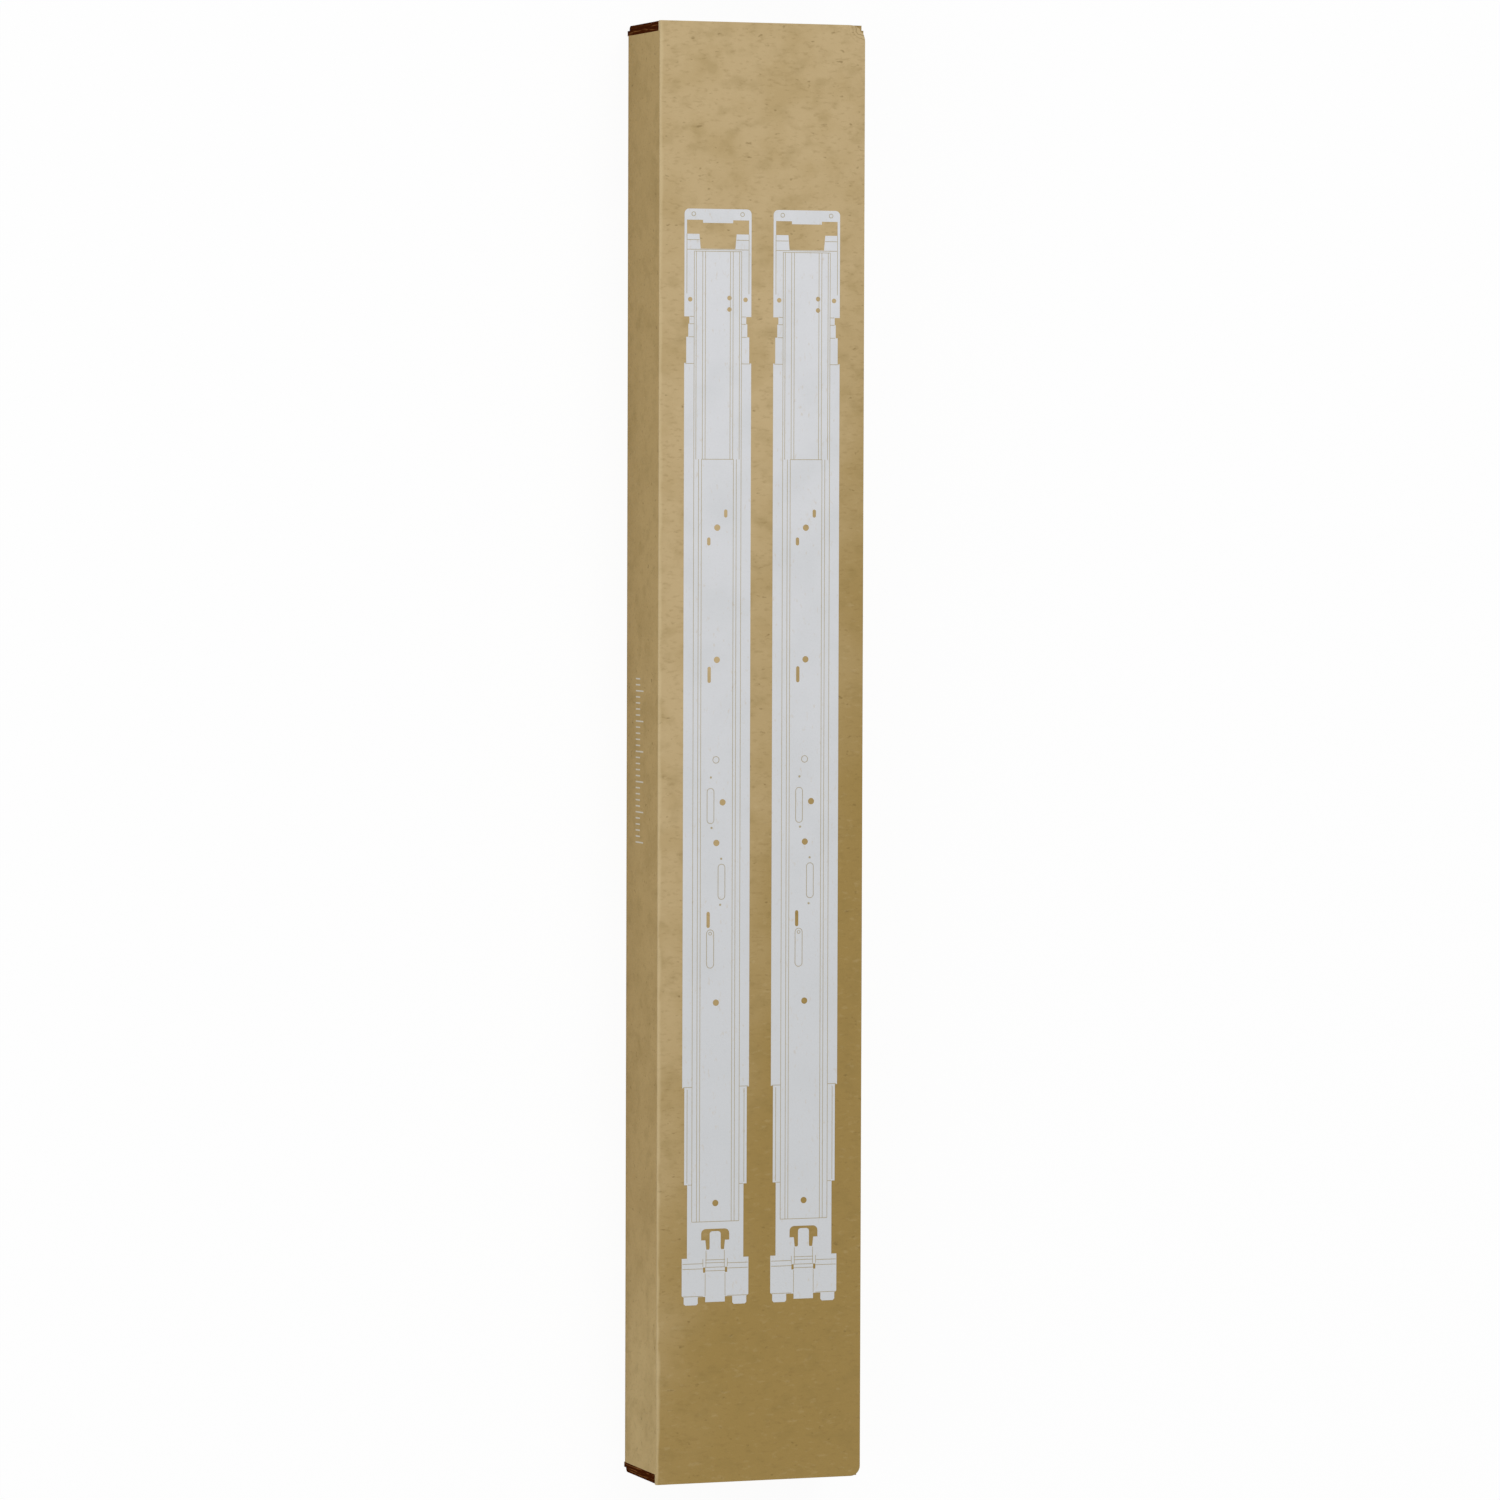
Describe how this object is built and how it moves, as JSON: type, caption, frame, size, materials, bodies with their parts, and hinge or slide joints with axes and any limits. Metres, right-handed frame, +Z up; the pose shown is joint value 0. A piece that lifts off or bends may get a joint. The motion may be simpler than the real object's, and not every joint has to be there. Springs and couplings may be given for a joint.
{
  "type": "sliding server rail pair in a mailer carton",
  "caption": "Pair of ball-bearing telescoping server rails, one rack unit high, side by side in a flat kraft mailer carton with a hinged lid.",
  "frame": {"origin": "middle of the carton's footprint, on the surface that it lies on", "axes": "+X across the rails towards the right wall, -Y towards the end of the rails that faces the front of a rack, +Z up out of the printed lid"},
  "size_m": [0.107, 0.72, 0.05],
  "materials": {
    "kraft_board": "matt kraft corrugated board",
    "foam": "grey packing foam",
    "grey_card": "folded grey-brown card",
    "zinc_steel": "zinc plated sheet steel, satin",
    "ball_steel": "polished bearing steel",
    "cage_steel": "thin bright sheet steel",
    "black_steel": "black coated steel",
    "spring_steel": "drawn spring wire",
    "blue_plastic": "moulded blue nylon"
  },
  "bodies": {
    "carton": {"carton_floor": "kraft_board", "carton_left_wall": "kraft_board", "carton_right_wall": "kraft_board", "carton_front_wall": "kraft_board", "carton_front_rolled_ply": "kraft_board", "carton_rear_wall": "kraft_board", "carton_rear_rolled_ply": "kraft_board", "floor_pad": "foam", "side_spacers": "foam", "centre_divider": "grey_card", "cover_pad": "kraft_board", "fill_blocks": "foam", "accessory_tray": "grey_card", "tray_screws": "black_steel"},
    "lid": {"carton_lid": "kraft_board"},
    "flap": {"tuck_flap": "kraft_board"},
    "left_rail": {"left_outer_member": "zinc_steel", "left_front_bracket": "zinc_steel", "left_bracket_rivets": "cage_steel", "left_latch_blocks": "black_steel", "left_latch_pin": "cage_steel", "left_latch_spring": "spring_steel", "left_front_pegs": "ball_steel", "left_guide_stud": "cage_steel"},
    "left_middle": {"left_intermediate_member": "zinc_steel"},
    "left_inner": {"left_inner_member": "zinc_steel", "left_release_rivet": "cage_steel"},
    "left_release": {"left_release_lever": "blue_plastic"},
    "left_outer_cage": {"left_outer_ball_cage": "cage_steel", "left_outer_balls": "ball_steel"},
    "left_inner_cage": {"left_inner_ball_cage": "cage_steel", "left_inner_balls": "ball_steel"},
    "left_latch": {"left_latch_lever": "blue_plastic"},
    "left_rear": {"left_rear_bracket": "zinc_steel", "left_rear_hooks": "black_steel"},
    "right_rail": {"right_outer_member": "zinc_steel", "right_front_bracket": "zinc_steel", "right_bracket_rivets": "cage_steel", "right_latch_blocks": "black_steel", "right_latch_pin": "cage_steel", "right_latch_spring": "spring_steel", "right_front_pegs": "ball_steel", "right_guide_stud": "cage_steel"},
    "right_middle": {"right_intermediate_member": "zinc_steel"},
    "right_inner": {"right_inner_member": "zinc_steel", "right_release_rivet": "cage_steel"},
    "right_release": {"right_release_lever": "blue_plastic"},
    "right_outer_cage": {"right_outer_ball_cage": "cage_steel", "right_outer_balls": "ball_steel"},
    "right_inner_cage": {"right_inner_ball_cage": "cage_steel", "right_inner_balls": "ball_steel"},
    "right_latch": {"right_latch_lever": "blue_plastic"},
    "right_rear": {"right_rear_bracket": "zinc_steel", "right_rear_hooks": "black_steel"}
  },
  "joints": [
    {"name": "lid_hinge", "type": "hinge", "parent": "carton", "child": "lid", "pos_m": [-0.0535, 0, 0.05], "axis": [0, -1, 0], "range_deg": [0, 120]},
    {"name": "flap_fold", "type": "hinge", "parent": "lid", "child": "flap", "pos_m": [0.0475, 0, 0.0475], "axis": [0, -1, 0], "range_deg": [-36, 0]},
    {"name": "left_draw_out", "type": "slide", "parent": "carton", "child": "left_rail", "axis": [0, -1, 0], "range_m": [0, 0.74]},
    {"name": "left_intermediate_slide", "type": "slide", "parent": "left_rail", "child": "left_middle", "axis": [0, -1, 0], "range_m": [0, 0.36]},
    {"name": "left_outer_cage_slide", "type": "slide", "parent": "left_rail", "child": "left_outer_cage", "axis": [0, -1, 0], "range_m": [0, 0.18]},
    {"name": "left_inner_slide", "type": "slide", "parent": "left_middle", "child": "left_inner", "axis": [0, -1, 0], "range_m": [0, 0.35]},
    {"name": "left_inner_cage_slide", "type": "slide", "parent": "left_middle", "child": "left_inner_cage", "axis": [0, -1, 0], "range_m": [0, 0.175]},
    {"name": "left_rear_adjust", "type": "slide", "parent": "left_rail", "child": "left_rear", "axis": [0, 1, 0], "range_m": [0, 0.19]},
    {"name": "left_latch_pivot", "type": "hinge", "parent": "left_rail", "child": "left_latch", "pos_m": [-0.023, -0.318, 0.0148], "axis": [-1, 0, 0], "range_deg": [0, 8], "stiffness_Nm_per_rad": 0.05, "springref_deg": -5.73},
    {"name": "left_release_pivot", "type": "hinge", "parent": "left_inner", "child": "left_release", "pos_m": [-0.0269, -0.108, 0.0304], "axis": [0, 0, 1], "range_deg": [0, 8], "stiffness_Nm_per_rad": 0.02, "springref_deg": -5.73},
    {"name": "right_draw_out", "type": "slide", "parent": "carton", "child": "right_rail", "axis": [0, -1, 0], "range_m": [0, 0.74]},
    {"name": "right_intermediate_slide", "type": "slide", "parent": "right_rail", "child": "right_middle", "axis": [0, -1, 0], "range_m": [0, 0.36]},
    {"name": "right_outer_cage_slide", "type": "slide", "parent": "right_rail", "child": "right_outer_cage", "axis": [0, -1, 0], "range_m": [0, 0.18]},
    {"name": "right_inner_slide", "type": "slide", "parent": "right_middle", "child": "right_inner", "axis": [0, -1, 0], "range_m": [0, 0.35]},
    {"name": "right_inner_cage_slide", "type": "slide", "parent": "right_middle", "child": "right_inner_cage", "axis": [0, -1, 0], "range_m": [0, 0.175]},
    {"name": "right_rear_adjust", "type": "slide", "parent": "right_rail", "child": "right_rear", "axis": [0, 1, 0], "range_m": [0, 0.19]},
    {"name": "right_latch_pivot", "type": "hinge", "parent": "right_rail", "child": "right_latch", "pos_m": [0.023, -0.318, 0.0148], "axis": [-1, 0, 0], "range_deg": [0, 8], "stiffness_Nm_per_rad": 0.05, "springref_deg": -5.73},
    {"name": "right_release_pivot", "type": "hinge", "parent": "right_inner", "child": "right_release", "pos_m": [0.0191, -0.108, 0.0304], "axis": [0, 0, 1], "range_deg": [0, 8], "stiffness_Nm_per_rad": 0.02, "springref_deg": -5.73}
  ],
  "couplings": [
    {"joint": "flap_fold", "follows": "lid_hinge", "ratio": -0.3},
    {"joint": "left_outer_cage_slide", "follows": "left_intermediate_slide", "ratio": 0.5},
    {"joint": "left_inner_cage_slide", "follows": "left_inner_slide", "ratio": 0.5},
    {"joint": "right_outer_cage_slide", "follows": "right_intermediate_slide", "ratio": 0.5},
    {"joint": "right_inner_cage_slide", "follows": "right_inner_slide", "ratio": 0.5}
  ]
}
